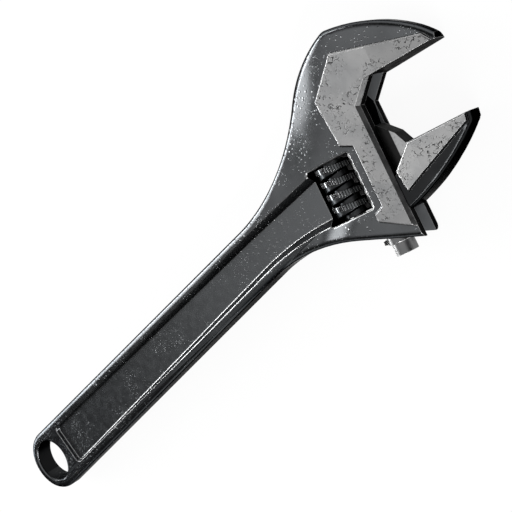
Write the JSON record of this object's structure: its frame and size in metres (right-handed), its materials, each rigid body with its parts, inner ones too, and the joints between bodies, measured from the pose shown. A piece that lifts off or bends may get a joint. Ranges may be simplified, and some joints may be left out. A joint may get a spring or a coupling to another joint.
{
  "type": "adjustable wrench",
  "caption": "Adjustable wrench with a forged I-section handle, a hanging hole, an angled fixed jaw and a sliding jaw driven by a knurled worm.",
  "frame": {"origin": "centre of the hanging hole at mid thickness", "axes": "+X along the handle to the head, +Y towards the fixed jaw's crest, +Z out of the front face"},
  "size_m": [0.3006, 0.0755, 0.016],
  "materials": {
    "forging": "black finished forging with ground bright lands",
    "jaw_forging": "black finished forging with ground bright lands",
    "worm_steel": "dark finished, knurled",
    "pin_steel": "turned",
    "spring_steel": "drawn wire"
  },
  "bodies": {
    "wrench_body": {"body": "forging", "worm_pin": "pin_steel", "worm_spring": "spring_steel"},
    "jaw": {"movable_jaw": "jaw_forging"},
    "adjuster": {"worm": "worm_steel"}
  },
  "joints": [
    {"name": "jaw_slide", "type": "slide", "parent": "wrench_body", "child": "jaw", "axis": [-0.2639, -0.9646, 0], "range_m": [-0.02495, 0.009]},
    {"name": "worm_turn", "type": "hinge", "parent": "wrench_body", "child": "adjuster", "pos_m": [0.23259, 0.02333, 0], "axis": [0.2639, 0.9646, 0], "range_deg": [-1855, 672]}
  ],
  "couplings": [
    {"joint": "worm_turn", "follows": "jaw_slide", "rad_per_m": 1295.5}
  ]
}
